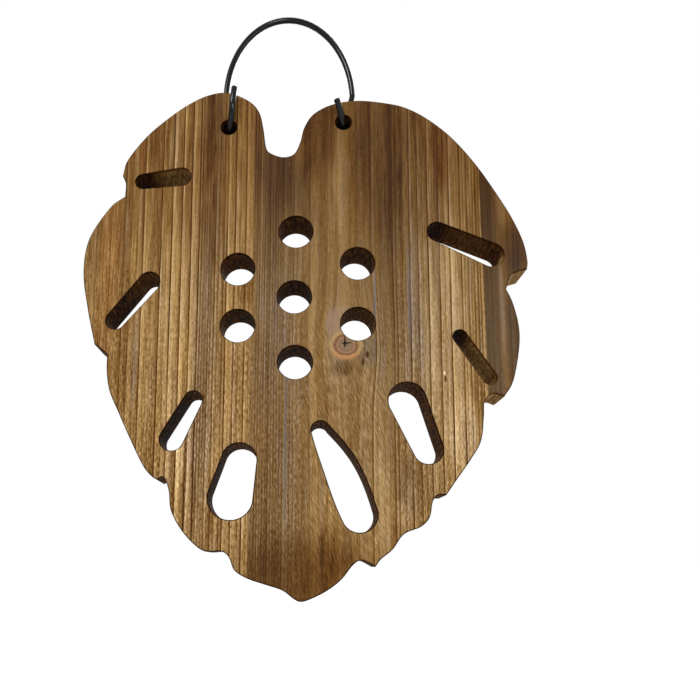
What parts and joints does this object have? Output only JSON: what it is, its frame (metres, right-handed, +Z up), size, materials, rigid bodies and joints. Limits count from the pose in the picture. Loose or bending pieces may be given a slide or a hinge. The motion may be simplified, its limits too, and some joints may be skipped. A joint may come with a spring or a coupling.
{
  "type": "staghorn fern mounting board",
  "caption": "Leaf-shaped scorched softwood board with plant holes and slots, hung by two holes on the hooks of a bent black wire bail.",
  "frame": {"origin": "the hanging point: underside of the wire's crown, where the nail or hook carries it, in the plane of the wire's arch", "axes": "+Z up, +X to the right seen from the plant side, +Y from the plant side towards the wall"},
  "size_m": [0.207, 0.0298, 0.3069],
  "materials": {
    "scorched_wood": "scorched, wire-brushed and oiled softwood, satin",
    "coated_wire": "gloss black coating"
  },
  "bodies": {
    "bail": {"wire_bail": "coated_wire"},
    "board": {"left_stave": "scorched_wood", "middle_stave": "scorched_wood", "right_stave": "scorched_wood"}
  },
  "joints": [
    {"name": "board_swing", "type": "hinge", "parent": "bail", "child": "board", "pos_m": [-0.0022, -0.01315, -0.0667], "axis": [1, 0, 0], "range_deg": [-22, 24]}
  ]
}
